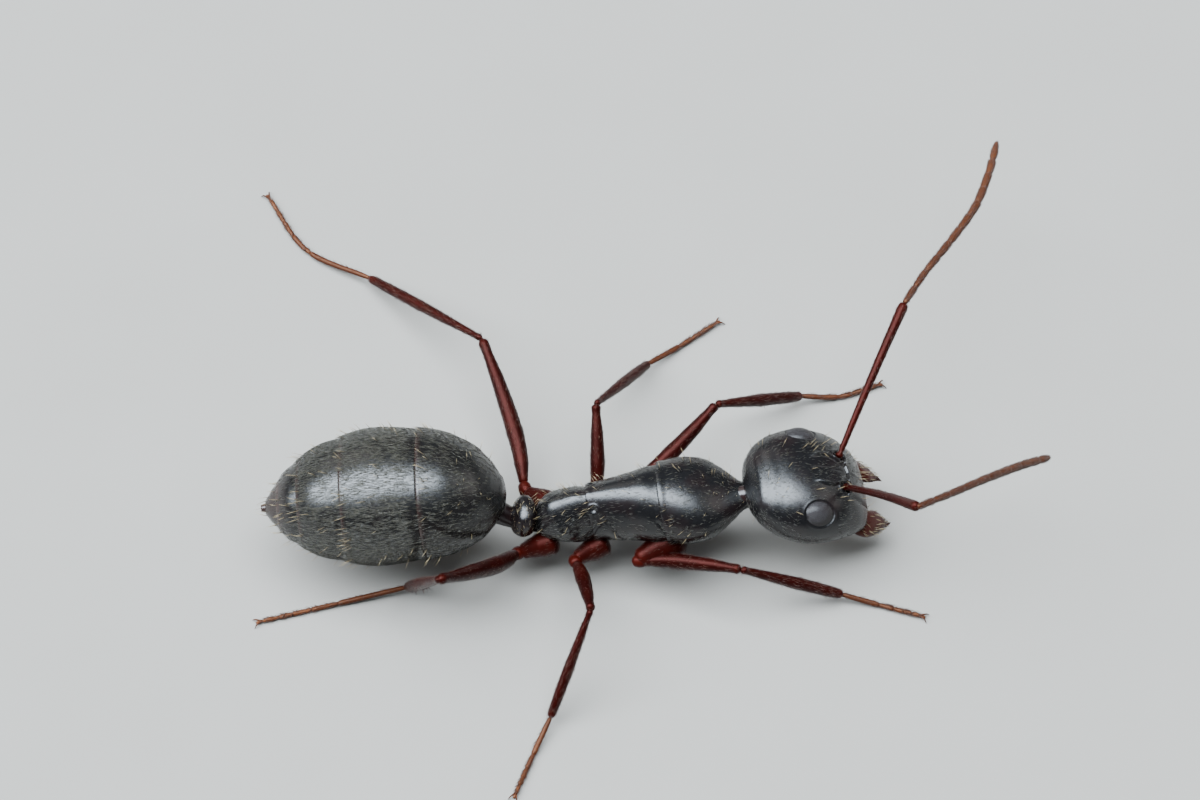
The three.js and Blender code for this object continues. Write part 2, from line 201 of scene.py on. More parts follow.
class Shape:
    """Closed bodies gathered into one mesh, with a mark at each vertex for the material."""

    def __init__(self):
        self.points, self.faces, self.marks, self.spots = [], [], [], []
        self.count = 0

    def add(self, points, faces, marks, spots=None):
        """faces holds arrays of corner numbers, one array for each number of corners."""
        self.points.append(points)
        self.faces.extend(np.asarray(group) + self.count for group in faces)
        self.marks.append(np.broadcast_to(np.asarray(marks, float), len(points)))
        if spots is not None:
            self.spots.append(spots)
        self.count += len(points)

    def add_rings(self, rings, marks=0.0):
        """A body whose skin runs through rings of points, closed by a cone at each end.
        marks is one value, a value for each ring or a value for each point."""
        rings = np.asarray(rings, float)
        count, sides = rings.shape[:2]
        points = np.concatenate([rings.reshape(-1, 3), [rings[0].mean(0), rings[-1].mean(0)]])
        side = np.arange(sides)
        after = (side + 1) % sides
        low = np.arange(count - 1)[:, None] * sides
        high = low + sides
        quads = np.stack([low + side, low + after, high + after, high + side], -1).reshape(-1, 4)
        last = (count - 1) * sides
        caps = np.concatenate([
            np.stack([np.full(sides, count * sides), after, side], -1),
            np.stack([np.full(sides, count * sides + 1), last + side, last + after], -1)])
        middle = points.mean(0)
        corners = points[quads] - middle
        volume = np.einsum("ij,ij->i", corners[:, 0], np.cross(corners[:, 1], corners[:, 2])).sum()
        if volume < 0:
            quads, caps = quads[:, ::-1], caps[:, ::-1]
        marks = np.asarray(marks, float)
        if marks.ndim:
            table = np.ones((count, sides)) * (marks if marks.ndim == 2 else marks[:, None])
            marks = np.concatenate([table.ravel(), [table[0].mean(), table[-1].mean()]])
        self.add(points, [quads, caps], marks)

    def build(self, name, material, slot, *replaced):
        """Makes the piece, which stands for the CAD nodes replaced."""
        points = place(np.concatenate(self.points))
        sizes = np.concatenate([np.full(len(group), group.shape[1]) for group in self.faces])
        corners = np.concatenate([group.ravel() for group in self.faces])
        mesh = bpy.data.meshes.new(name)
        mesh.vertices.add(len(points))
        mesh.vertices.foreach_set("co", points.ravel())
        mesh.loops.add(len(corners))
        mesh.loops.foreach_set("vertex_index", corners.astype(np.int32))
        mesh.polygons.add(len(sizes))
        mesh.polygons.foreach_set("loop_start", np.concatenate([[0], np.cumsum(sizes)[:-1]]))
        mesh.update(calc_edges=True)
        mesh.validate()
        marks = mesh.attributes.new("mark", "FLOAT", "POINT")
        marks.data.foreach_set("value", np.concatenate(self.marks).astype(np.float32))
        if self.spots:
            layer = mesh.uv_layers.new(name="OFBake")
            layer.data.foreach_set("uv", np.concatenate(self.spots)[corners].astype(np.float32).ravel())
        mesh.shade_smooth()
        piece = in_scene(name, mesh)
        mesh.materials.append(material)
        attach(piece, "root")
        if replaced:
            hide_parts(*replaced)


def solid(name, material, slot, replaced, *bodies):
    """A piece in place of a CAD node, from bodies that are each rings and their marks."""
    shape = Shape()
    for rings, marks in bodies:
        shape.add_rings(rings, marks)
    shape.build(name, material, slot, replaced)


def along(points, shares):
    """Places at given shares of the length of a smooth path through a few points."""
    points = np.asarray(points, float)
    padded = np.concatenate([[2 * points[0] - points[1]], points, [2 * points[-1] - points[-2]]])
    t = np.linspace(0, 1, 24, endpoint=False)[:, None]
    samples = []
    for before, start, end, after in zip(padded, padded[1:], padded[2:], padded[3:]):
        samples.append(0.5 * (
            2 * start + (end - before) * t
            + (2 * before - 5 * start + 4 * end - after) * t**2
            + (3 * start - before - 3 * end + after) * t**3))
    samples = np.concatenate(samples + [points[-1:]])
    run = np.concatenate([[0], np.cumsum(np.linalg.norm(np.diff(samples, axis=0), axis=1))])
    at = np.asarray(shares, float) * run[-1]
    return np.stack([np.interp(at, run, samples[:, axis]) for axis in range(3)], -1)


def tube(path, radii, sides, flatness=1.0):
    """Rings round a path. flatness is their width as a share of their height."""
    tangents = unit(np.gradient(path, axis=0))
    across = unit(np.cross(tangents, (0.0, 0.0, 1.0)))
    over = np.cross(across, tangents)
    angles = full_turn(sides)
    ring = (
        np.cos(angles)[None, :, None] * across[:, None] * flatness
        + np.sin(angles)[None, :, None] * over[:, None])
    return path[:, None] + ring * np.asarray(radii, float)[:, None, None]


def spike(path, radius, sides=10, taper=0.7):
    """Rings of a tooth, claw or spur, which narrows to a fine tip."""
    t = np.linspace(0, 1, len(path))
    return tube(path, radius * (1 - t) ** taper + 0.002, sides)


def limb_shares(count=40, dome=0.04):
    """Shares of a limb's length, closer together near its round ends."""
    ends = dome * (1 - np.cos(np.linspace(0, math.pi / 2, 7)))
    return np.unique(np.concatenate([ends, np.linspace(dome, 1 - dome, count), 1 - ends]).round(9))


def domed(shares, radii, dome):
    """Radii drawn in to a round end at each end of a limb."""
    fade = np.clip(np.minimum(shares, 1 - shares) / dome, 0.02, 1)
    return np.asarray(radii) * np.sqrt(1 - (1 - fade) ** 2)


BEAD_SHARES = np.array([0, 0.03, 0.08, 0.16, 0.3, 0.5, 0.7, 0.86, 0.95, 0.99, 1.0])
BEAD_SWELL = np.array([0.68, 0.74, 0.86, 0.94, 0.98, 1.0, 1.03, 1.05, 1.0, 0.8, 0.5])


def segmented(points, lengths, radii, sides):
    """Rings of each bead along a path. A bead starts narrow and swells; the last is rounded."""
    edges = np.concatenate([[0], np.cumsum(lengths)]) / np.sum(lengths)
    beads = []
    for index, radius in enumerate(radii):
        start, end = edges[index], edges[index + 1]
        shares, swell = BEAD_SHARES, BEAD_SWELL
        if index == len(radii) - 1:
            shares = np.linspace(0, 1, 16)
            swell = np.where(
                shares < 0.35, 0.7 + 0.3 * ease(0, 0.35, shares),
                np.sqrt(np.clip(1 - ((shares - 0.35) / 0.65) ** 2, 0.01, 1)))
        at = np.maximum(start + (end - start) * shares - 0.004 * (shares == 0), 0)
        beads.append(tube(along(points, at), radius * swell, sides))
    return beads


# ---- Hair ----

# Each hair's corners: a ring of three at the root, three part of the way up, and the tip.
HAIR_LEVELS = ((0.0, 1.0), (0.45, 0.75))
HAIR_QUADS = np.array([(0, 1, 4, 3), (1, 2, 5, 4), (2, 0, 3, 5)])
HAIR_TRIANGLES = np.array([(0, 2, 1), (3, 4, 6), (4, 5, 6), (5, 3, 6)])
HAIR_MARKS = np.array([0, 0, 0, 0.6, 0.6, 0.6, 1.2])
UNDERSIDE = -0.1        # skin whose outward direction rises less than this is underneath
HAIR_PATCH = 0.0015 * np.array([(-1, -1), (1, -1), (0, -0.6), (-0.7, 0), (0.7, 0), (0, 0.3), (0, 1)])


def roots_on(rings, count, keep=None):
    """Evenly scattered places on the skin through rings: points, outward and lengthwise
    directions, and shares of the way along and around. keep(along, around) thins them."""
    rings = np.asarray(rings, float)
    rows, sides = rings.shape[:2]
    tries = count * 12
    u = random.random(tries) * (rows - 1)
    v = random.random(tries) * sides
    row, side = u.astype(int), v.astype(int)
    after = (side + 1) % sides
    s, t = (u - row)[:, None], (v - side)[:, None]
    a, b = rings[row, side], rings[row, after]
    c, d = rings[row + 1, side], rings[row + 1, after]
    points = (a * (1 - t) + b * t) * (1 - s) + (c * (1 - t) + d * t) * s
    lengthwise = (c - a) * (1 - t) + (d - b) * t
    normal = np.cross(lengthwise, (b - a) * (1 - s) + (d - c) * s)
    area = np.linalg.norm(normal, axis=1)
    centre = rings.mean(1)
    outside = points - (centre[row] * (1 - s) + centre[row + 1] * s)
    normal = normal * np.sign((normal * outside).sum(1, keepdims=True))
    chance = area / np.quantile(area, 0.98)
    shares = u / (rows - 1), v / sides
    if keep is not None:
        chance = chance * keep(*shares)
    chosen = np.flatnonzero(random.random(tries) < chance)[:count]
    return (points[chosen], unit(normal[chosen]), unit(lengthwise[chosen]),
            shares[0][chosen], shares[1][chosen])


class Coat(Shape):
    """Hair gathered into one mesh."""

    def grow(self, skin, count, length, radius, lift, keep=None, part=(0, 1), upward=False, **lean):
        """Scatters hairs over a skin. part is its number, and the count, of the skins that
        share the coat's unwrap. upward leaves the underside bare."""
        points, outward, lie, share_along, share_around = roots_on(skin, count, keep)
        number, parts = part
        roots = points, outward, lie, (share_along + number) / parts, share_around
        if upward:
            facing = outward[:, 2] > UNDERSIDE
            roots = [values[facing] for values in roots]
        self.add_hairs(roots, length, radius, lift, **lean)

    def add_hairs(self, roots, length, radius, lift, bend=0.1, sway=0.25, backward=False):
        """Hairs as thin three-sided spikes that lean along the skin. lift is their rise from
        it, in degrees. Each takes a patch of the bake map round its root's place on the skin."""
        points, outward, lie, share_along, share_around = roots
        count = len(points)
        lie = -lie if backward else lie
        lie = lie + sway * random.standard_normal((count, 3))
        lie = unit(lie - outward * (lie * outward).sum(1, keepdims=True))
        side = np.cross(outward, lie)
        size = length * (0.75 + 0.5 * random.random((count, 1)))
        thick = np.full((count, 1), radius)
        angle = np.radians(lift * (0.8 + 0.4 * random.random((count, 1))))
        lean = np.cos(angle) * lie + np.sin(angle) * outward
        droop = -outward * bend * np.cos(angle)
        over = np.cross(side, lean)
        corners = []
        for level, wide in HAIR_LEVELS:
            middle = points + lean * size * level + droop * size * level**2 / 2 + outward * thick * 0.2
            for turn in np.radians([90, 210, 330]):
                spoke = math.cos(turn) * side + math.sin(turn) * over
                corners.append(middle + thick * wide * spoke)
        corners.append(points + lean * size + droop * size / 2)
        base = np.arange(count)[:, None, None] * len(corners)
        spots = np.stack([share_around, share_along], -1)[:, None] + HAIR_PATCH
        self.add(
            np.stack(corners, 1).reshape(-1, 3),
            [(HAIR_QUADS + base).reshape(-1, 4), (HAIR_TRIANGLES + base).reshape(-1, 3)],
            np.tile(HAIR_MARKS, count), np.clip(spots, 0, 1).reshape(-1, 2))


# ---- Materials ----

class Finish:
    """A procedural material, wired up a node at a time."""

    def __init__(self, name):
        self.material = bpy.data.materials.new(name)
        self.material.use_nodes = True
        self.nodes = self.material.node_tree.nodes
        self.links = self.material.node_tree.links
        self.shader = self.nodes["Principled BSDF"]
        self.places = self.nodes.new("ShaderNodeTexCoord").outputs["Object"]
        mark = self.nodes.new("ShaderNodeAttribute")
        mark.attribute_name = "mark"
        self.mark = mark.outputs["Fac"]

    def node(self, kind, output, sockets, **settings):
        """Adds a node, fills its sockets and gives one of its outputs."""
        node = self.nodes.new("ShaderNode" + kind)
        for name, value in settings.items():
            setattr(node, name, value)
        for name, value in sockets.items():
            self.plug(value, node.inputs[name])
        return node.outputs[output]

    def plug(self, value, socket):
        """A constant or another node's output into a socket."""
        if isinstance(value, (int, float, tuple)):
            socket.default_value = value
        else:
            self.links.new(value, socket)

    def noise(self, scale, detail=3):
        return self.node("TexNoise", "Fac", {"Scale": scale, "Detail": detail, "Vector": self.places})

    def cells(self, scale):
        sockets = {"Scale": scale, "Vector": self.places}
        return self.node("TexVoronoi", "Distance", sockets, feature="DISTANCE_TO_EDGE")

    def sums(self, operation, first, second):
        clamp = operation == "ADD"
        return self.node("Math", "Value", {0: first, 1: second}, operation=operation, use_clamp=clamp)

    def stretch(self, value, low, high, to_low, to_high):
        return self.node("MapRange", "Result", {
            "Value": value, "From Min": low, "From Max": high, "To Min": to_low, "To Max": to_high})

    def blend(self, share, first, second):
        sockets = {"Factor": share, "A": (*first, 1), "B": (*second, 1)}
        return self.node("Mix", "Result", sockets, data_type="RGBA")

    def bump(self, height, strength, distance):
        sockets = {"Height": height, "Strength": strength, "Distance": distance}
        self.plug(self.node("Bump", "Normal", sockets), self.shader.inputs["Normal"])

    def set(self, **values):
        for name, value in values.items():
            self.plug(value, self.shader.inputs[name.replace("_", " ")])
        return self.material


GRAIN_HEIGHT = 6e-6     # metres


def chitin(name, colour, warm, warmth, roughness, grain, relief, shine, gloss=(1, 1, 1, 1)):
    """Insect shell. It warms in soft patches and where it is marked. grain is how fine the net
    on its surface is, and relief how deep. shine is how much it mirrors, gloss in which tint."""
    finish = Finish(name)
    patches = finish.stretch(finish.noise(2600), 0.45, 0.75, 0, warmth)
    tint = finish.blend(finish.sums("ADD", patches, finish.mark), colour, warm)
    dust = finish.noise(grain * 0.35, 4)
    finish.bump(finish.sums("MULTIPLY", finish.cells(grain), finish.stretch(dust, 0, 1, 0.5, 1.5)),
                relief, GRAIN_HEIGHT)
    return finish.set(
        Base_Color=tint, Roughness=finish.stretch(dust, 0.3, 0.7, roughness * 0.85, roughness * 1.25),
        IOR=1.6, Specular_IOR_Level=shine, Specular_Tint=gloss)


def hair(name, root, tip):
    """Hair that pales towards its tip."""
    finish = Finish(name)
    share = finish.sums("MULTIPLY", finish.mark, finish.stretch(finish.noise(9000), 0.3, 0.7, 0.6, 1))
    return finish.set(Base_Color=finish.blend(share, root, tip), Roughness=0.4)


SHELL = chitin(
    "shell_black", (0.0028, 0.0026, 0.0028), (0.035, 0.006, 0.004),
    warmth=0.08, roughness=0.22, grain=55000, relief=0.3, shine=0.3)
GASTER_SHELL = chitin(
    "gaster_black", (0.003, 0.0028, 0.0026), (0.022, 0.008, 0.006),
    warmth=0.06, roughness=0.24, grain=40000, relief=0.3, shine=0.34)
EYE_SHELL = chitin(
    "eye_black", (0.003, 0.003, 0.004), (0.02, 0.012, 0.01),
    warmth=0.1, roughness=0.16, grain=60000, relief=0.1, shine=0.28)
JAW_SHELL = chitin(
    "jaw_red", (0.022, 0.002, 0.001), (0.004, 0.0015, 0.0015),
    warmth=0.1, roughness=0.3, grain=50000, relief=0.4, shine=0.2, gloss=(1.0, 0.5, 0.4, 1))
LIMB_SHELL = chitin(
    "limb_mahogany", (0.006, 0.0004, 0.0003), (0.036, 0.003, 0.0015),
    warmth=0.2, roughness=0.34, grain=60000, relief=0.4, shine=0.1, gloss=(1.0, 0.35, 0.3, 1))
TIP_SHELL = chitin(
    "limb_tip_brown", (0.022, 0.0045, 0.0018), (0.075, 0.023, 0.008),
    warmth=0.4, roughness=0.42, grain=60000, relief=0.4, shine=0.2, gloss=(1.0, 0.6, 0.4, 1))
GOLD_HAIR = hair("hair_gold", (0.06, 0.042, 0.02), (0.32, 0.25, 0.14))
DOWN = hair("hair_down", (0.009, 0.008, 0.0055), (0.068, 0.062, 0.043))
RED_HAIR = hair("hair_red_brown", (0.016, 0.003, 0.0015), (0.08, 0.028, 0.012))


# ---- Gaster ----

GASTER_OUTLINE = curve(
    (0, 0.0), (0.006, 0.15), (0.025, 0.3), (0.08, 0.56), (0.18, 0.8), (0.32, 0.96), (0.45, 1.0),
    (0.6, 0.97), (0.75, 0.83), (0.87, 0.6), (0.95, 0.34), (0.985, 0.18), (1, 0.1))
GASTER_ARCH = curve((0, -0.2), (0.1, -0.13), (0.25, -0.04), (0.5, 0), (0.75, -0.02), (1, -0.1))
PLATE_STEP = 0.035      # how far a plate's front is sunk under the edge of the one before
PLATE_SWELL = 0.022     # how far each plate bows out between its edges
BELLY_EDGE = 116        # degrees round from the top where the upper plates end
BELLY_STEP = 0.025
LAST_PLATE = len(GASTER_CUTS) - 2


def gaster_point(share, angle, extra=0.0):
    """A point on the gaster's skin, some extra distance outside it."""
    share, angle = np.broadcast_arrays(np.asarray(share, float), np.asarray(angle, float))
    width = GASTER_OUTLINE(share)
    belly = ease(BELLY_EDGE - 2, BELLY_EDGE + 1, np.abs(np.degrees(angle)))
    offset = (extra - BELLY_STEP * belly) * np.clip(width * 1.6, 0, 1)
    local = np.stack([
        -share * GASTER_LENGTH,
        (GASTER_HALF_WIDTH * width + offset) * np.sin(angle),
        (GASTER_HALF_HEIGHT * width + offset) * np.cos(angle) + GASTER_ARCH(share)], -1)
    return turned(turned(local, "Y", -GASTER_DROOP), "Z", -GASTER_TURN) + GASTER_FRONT


def gaster_plate(index):
    """One ring of the gaster. Its front is tucked under the plate before, its edge is thin."""
    start, end = GASTER_CUTS[index], GASTER_CUTS[index + 1]
    first, last = index == 0, index == LAST_PLATE
    angles = around(168)
    t = np.linspace(0, 1, 40 if index < 3 else 22)
    shares = np.maximum(start + (end - start) * (t**1.5 if first else t), 1e-4)
    sunk = 0 if first else PLATE_STEP
    offsets = -sunk * (1 - ease(0, 0.8, t)) + PLATE_SWELL * np.sin(math.pi * t) * (not last)
    skin = np.array([gaster_point(share, angles, offset) for share, offset in zip(shares, offsets)])
    edge = 0.5 * ease(end - 0.02, end - 0.003, shares) * (not last) + 0.3 * ease(0.86, 0.98, shares)
    rings = [*skin, gaster_point(end, angles, -0.012), gaster_point(end - 0.004, angles, -0.06)]
    marks = [*edge, edge[-1], 0]
    if not first:
        rings.insert(0, gaster_point(start - 0.006, angles, -0.06))
        rings.insert(0, gaster_point(start - 0.012, angles, -0.08))
        marks = [0, 0, *marks]
    pore = [(acid_pore(), 0.6)] if last else []
    solid(f"gaster_plate_{index + 1}", GASTER_SHELL, "gaster_shell", f"gaster_segment_{index + 1}",
          (rings, marks), *pore)
    return skin


def acid_pore():
    """The round nozzle at the gaster's tip."""
    middle = (gaster_point(1.0, 0) + gaster_point(1.0, math.pi)) / 2
    axis = unit(middle - (gaster_point(0.9, 0) + gaster_point(0.9, math.pi)) / 2)
    t = np.linspace(-0.08, 0.07, 10)
    return tube(middle + axis * t[:, None], np.linspace(0.085, 0.06, 10), 24)


GASTER_DOWN = (10000, 26000, 24000, 5000, 1500)     # hairs if a plate were the whole gaster


def gaster_coat(index, skin):
    """Close down over a plate and stiff hairs, thickest in a row near its hind edge."""
    start, end = GASTER_CUTS[index], GASTER_CUTS[index + 1]
    share = (end - start) * GASTER_OUTLINE((start + end) / 2)
    bare_front = 0.8 if index == 0 else 0.1
    down, bristles = Coat(), Coat()
    down.grow(skin, int(GASTER_DOWN[index] * share), 0.13, 0.003, 5,
              lambda u, v: ease(0, bare_front, u), bend=0.12, sway=0.2)
    down.build(f"gaster_down_{index + 1}", DOWN, "gaster_shell")
    bristles.grow(skin, int(150 * share) + 12, 0.23, 0.0054, 48, lambda u, v: mound(u - 0.93, 0.06), bend=0.5)
    bristles.grow(skin, int(130 * share) + 6, 0.19, 0.005, 56, lambda u, v: ease(0.05, 0.4, u), bend=0.5)
    bristles.build(f"gaster_bristles_{index + 1}", GOLD_HAIR, "gaster_shell")


for plate_index in range(LAST_PLATE + 1):
    gaster_coat(plate_index, gaster_plate(plate_index))


# ---- Thorax and petiole ----

THORAX_TOP = curve(
    (-1.0, 1.16), (-0.94, 1.38), (-0.84, 1.55), (-0.5, 1.76), (0, 1.89), (0.6, 1.98),
    (1.1, 2.0), (1.6, 1.9), (1.95, 1.74), (2.3, 1.57), (2.42, 1.55))
THORAX_BOTTOM = curve(
    (-1.0, 0.92), (-0.7, 0.78), (0, 0.72), (0.8, 0.75), (1.4, 0.86), (1.9, 1.08), (2.3, 1.26),
    (2.42, 1.28))
THORAX_HALF_WIDTH = curve(
    (-1.0, 0.15), (-0.93, 0.26), (-0.82, 0.33), (-0.5, 0.41), (-0.12, 0.41), (0.15, 0.45),
    (0.6, 0.53), (1.1, 0.67), (1.45, 0.72), (1.8, 0.65), (2.05, 0.46), (2.3, 0.24), (2.42, 0.2))
THORAX_POWER = curve((-1.0, 2.0), (-0.5, 1.7), (0.2, 1.8), (0.9, 1.95), (1.5, 2.1), (2.4, 2.0))

# Grooves in the thorax's sides: place and degrees from the top at each end, then depth.
THORAX_GROOVES = (
    ((0.95, 62), (1.25, 128), 0.028),
    ((0.12, 60), (0.45, 150), 0.03),
    ((-0.02, 66), (-0.3, 112), 0.024),
    ((-0.3, 112), (-0.92, 128), 0.024),
    ((0.9, 108), (0.3, 120), 0.02),
)
BREATHING_HOLES = ((-0.56, 70), (-0.03, 36))    # place and degrees from the top
SIDE_RADIUS = 0.5       # the thorax's usual distance from its axis, for lengths along its skin


def groove_distance(at, degrees, start, end):
    """Distance over the skin from a groove that runs between two places."""
    scale = math.radians(1) * SIDE_RADIUS
    first, last = np.array([start[0], start[1] * scale]), np.array([end[0], end[1] * scale])
    spot = np.stack(np.broadcast_arrays(at, degrees * scale), -1)
    run = last - first
    t = np.clip((spot - first) @ run / (run @ run), 0, 1)
    return np.linalg.norm(spot - (first + t[..., None] * run), axis=-1)


def thorax_relief(at, angle):
    """Grooves, breathing holes and the steps at the seams, as a height over the smooth skin."""
    degrees = np.abs(np.degrees(angle))
    relief = np.zeros(np.broadcast(at, angle).shape)
    for start, end, depth in THORAX_GROOVES:
        relief = relief - depth * mound(groove_distance(at, degrees, start, end), 0.045)
    for seam in THORAX_SEAMS[1:3]:
        relief = relief - 0.03 * ease(-0.24, 0, at - seam) * (at <= seam)
        relief = relief + 0.012 * mound(at - seam - 0.05, 0.08) * (at > seam)
    for place_along, place_round in BREATHING_HOLES:
        hole = np.hypot((at - place_along) * 0.8, (degrees - place_round) * math.radians(0.42))
        relief = relief + 0.012 * mound(hole - 0.07, 0.03) - 0.03 * mound(hole, 0.045)
    return relief


def thorax_point(at, angle, extra=0.0):
    """A point on the thorax's skin, some extra distance outside it."""
    at, angle = np.broadcast_arrays(np.asarray(at, float), np.asarray(angle, float))
    top, bottom = THORAX_TOP(at), THORAX_BOTTOM(at)
    power = np.where(np.abs(angle) < math.pi / 2, THORAX_POWER(at), 2.1)
    across, rise = oval(angle, power)
    offset = thorax_relief(at, angle) + extra
    lift = rise * ((top - bottom) / 2 + offset)
    local = np.stack([
        at + THORAX_LEAN * lift, across * (THORAX_HALF_WIDTH(at) + offset), (top + bottom) / 2 + lift], -1)
    return turned(local, "Z", THORAX_TURN)


DOWN_PER_BRISTLE = 26


def thorax_plate(index, name, rows, hairs):
    """A plate of the thorax. Where it meets the one before it, its rear edge stands over it."""
    start, end = THORAX_SEAMS[index:index + 2]
    angles = around(150)
    places = np.linspace(start + 1e-6, end, rows)
    skin = np.array([thorax_point(at, angles) for at in places])
    rings = list(skin)
    if name != "propodeum":
        lip = [thorax_point(start + 0.01, angles, -0.07), thorax_point(start + 0.002, angles, -0.012)]
        rings = lip + rings
    if name != "pronotum":
        rings = rings + [thorax_point(end + 0.03, angles, -0.06)]
    flank = 0.3 * ease(95, 160, np.abs(np.degrees(angles)))
    bodies = [(rings, np.ones((len(rings), 1)) * flank)]
    if name == "pronotum":
        neck = along([(2.2, 0.13, 1.41), (2.45, 0.12, 1.5), (2.66, 0.12, 1.56)], np.linspace(0, 1, 10))
        bodies.append((tube(neck, np.full(10, 0.16), 28), 0.15))
    solid(f"{name}_plate", SHELL, "body_shell", name, *bodies)
    down, bristles = Coat(), Coat()
    down.grow(skin, hairs * DOWN_PER_BRISTLE, 0.08, 0.0026, 8, bend=0.15, backward=True)
    down.build(f"{name}_down", DOWN, "body_shell")
    bristles.grow(skin, hairs, 0.19, 0.005, 62,
                  lambda u, v: ease(0.3, 0.12, from_top(v)), bend=0.5, backward=True)
    bristles.build(f"{name}_bristles", GOLD_HAIR, "body_shell")


thorax_plate(0, "propodeum", 72, 30)
thorax_plate(1, "mesothorax", 84, 26)
thorax_plate(2, "pronotum", 90, 38)

PETIOLE_MIDDLE = (-1.22, -0.02)
PETIOLE_BASE = 0.84
PETIOLE_HEIGHT = 0.7
PETIOLE_HALF_LENGTH = curve((0, 0.12), (0.2, 0.2), (0.5, 0.21), (0.78, 0.18), (0.93, 0.12), (1, 0.05))
PETIOLE_HALF_WIDTH = curve((0, 0.16), (0.2, 0.25), (0.5, 0.31), (0.8, 0.28), (0.94, 0.18), (1, 0.06))
PETIOLE_STALKS = (
    (((-0.84, -0.03, 1.0), (-1.0, -0.02, 1.0), (-1.2, -0.02, 1.02)), (0.16, 0.14)),
    (((-1.2, -0.02, 1.06), (-1.45, 0.03, 1.14), (-1.8, 0.1, 1.36)), (0.14, 0.22)),
)


def petiole():
    """The waist: an upright scale on a stalk, and the neck of the gaster behind it."""
    levels = 1 - (1 - np.linspace(0, 1, 50)) ** 1.25
    angles = full_turn(80)
    skin = np.stack([
        PETIOLE_MIDDLE[0] + 0.05 * levels[:, None] + PETIOLE_HALF_LENGTH(levels)[:, None] * np.cos(angles),
        PETIOLE_MIDDLE[1] + PETIOLE_HALF_WIDTH(levels)[:, None] * np.sin(angles),
        PETIOLE_BASE + PETIOLE_HEIGHT * levels[:, None] + 0 * angles], -1)
    stalks = [(tube(along(points, np.linspace(0, 1, 12)), np.linspace(*radii, 12), 28), 0.12)
              for points, radii in PETIOLE_STALKS]
    solid("petiole_scale", SHELL, "body_shell", "petiole", (skin, 0.3 * (1 - levels)), *stalks)
    coat = Coat()
    coat.grow(skin, 150, 0.07, 0.0026, 12, bend=0.15)
    coat.grow(skin, 16, 0.19, 0.006, 55, lambda u, v: ease(0.6, 0.9, u), bend=0.4)
    coat.build("petiole_hair", GOLD_HAIR, "body_shell")


petiole()


# ---- Head ----

HEAD_HALF_WIDTH = curve(
    (-1.02, 0.2), (-0.98, 0.42), (-0.9, 0.59), (-0.72, 0.77), (-0.4, 0.92), (-0.1, 0.98), (0.2, 0.96),
    (0.5, 0.88), (0.75, 0.77), (0.9, 0.66), (0.98, 0.52))
HEAD_TOP = curve(
    (-1.02, 0.1), (-0.98, 0.24), (-0.88, 0.38), (-0.65, 0.52), (-0.3, 0.61), (0.1, 0.6),
    (0.5, 0.48), (0.8, 0.28), (0.94, 0.12), (0.98, 0.02))
HEAD_BOTTOM = curve(
    (-1.02, -0.12), (-0.98, -0.24), (-0.88, -0.34), (-0.65, -0.47), (-0.2, -0.54),
    (0.4, -0.46), (0.8, -0.34), (0.98, -0.24))
HEAD_POWER = 2.25


def face_relief(at, wide):
    """The face's ridges, pits and plates, as a height over the smooth head. wide is the
    distance from the middle line."""
    ridge_line = 0.16 + 0.11 * ease(0.5, 0.12, at) - 0.04 * ease(0.1, -0.15, at)
    ridge = mound(wide - ridge_line, 0.045) * ease(-0.2, 0.05, at) * ease(0.56, 0.46, at)
    socket = np.hypot(at - SOCKET_PLACE[0], wide - SOCKET_PLACE[1])
    shield_line = 0.52 - 0.2 * wide
    shield = ease(0.43, 0.4, wide) * ease(0, 0.035, at - shield_line)
    shield_edge = np.minimum(np.abs(wide - 0.42) + (at < 0.5), np.abs(at - shield_line) + (wide > 0.42))
    keel = mound(wide, 0.035) * ease(0.56, 0.66, at) * ease(0.98, 0.9, at)
    middle_line = mound(wide, 0.016) * ease(-0.25, -0.05, at) * ease(0.46, 0.36, at)
    cheek = mound(wide - 0.6 + 0.2 * at, 0.05) * ease(0.55, 0.7, at)
    return (
        0.055 * ridge - 0.07 * mound(socket, 0.11) + 0.02 * mound(socket - 0.13, 0.04)
        + 0.024 * shield - 0.022 * mound(shield_edge, 0.022) + 0.016 * keel - 0.012 * middle_line
        - 0.012 * cheek)


def eye_socket(at, across, rise):
    """A shallow groove round each eye."""
    spot = np.stack([at, np.abs(across), rise], -1) - EYE_PLACE
    spot = turned(spot, "X", -EYE_LIFT)
    reach = np.hypot(spot[..., 0] / EYE_HALF_SIZES[0], spot[..., 2] / EYE_HALF_SIZES[2])
    near = spot[..., 1] > -0.25
    return (-0.022 * mound(reach - 0.97, 0.07) + 0.004 * mound(reach - 1.1, 0.08)) * near


def head_point(at, angle, extra=0.0):
    """A point on the head's skin, in the head's own frame."""
    at, angle = np.broadcast_arrays(np.asarray(at, float), np.asarray(angle, float))
    top, bottom = HEAD_TOP(at), HEAD_BOTTOM(at)
    half_width, half_height = HEAD_HALF_WIDTH(at), (top - bottom) / 2
    across, rise = oval(angle, HEAD_POWER)
    outward = unit(np.stack([
        np.sign(across) * np.abs(across) ** (HEAD_POWER - 1) / half_width,
        np.sign(rise) * np.abs(rise) ** (HEAD_POWER - 1) / half_height], -1))
    y, z = across * half_width, (top + bottom) / 2 + rise * half_height
    upper = ease(0.05, 0.3, rise)
    throat = -0.014 * mound(y, 0.03) * (rise < 0) * ease(0.9, 0.6, at)
    relief = face_relief(at, np.abs(y)) * upper + eye_socket(at, y, z) + throat + extra
    return np.stack([at, y + outward[..., 0] * relief, z + outward[..., 1] * relief], -1)


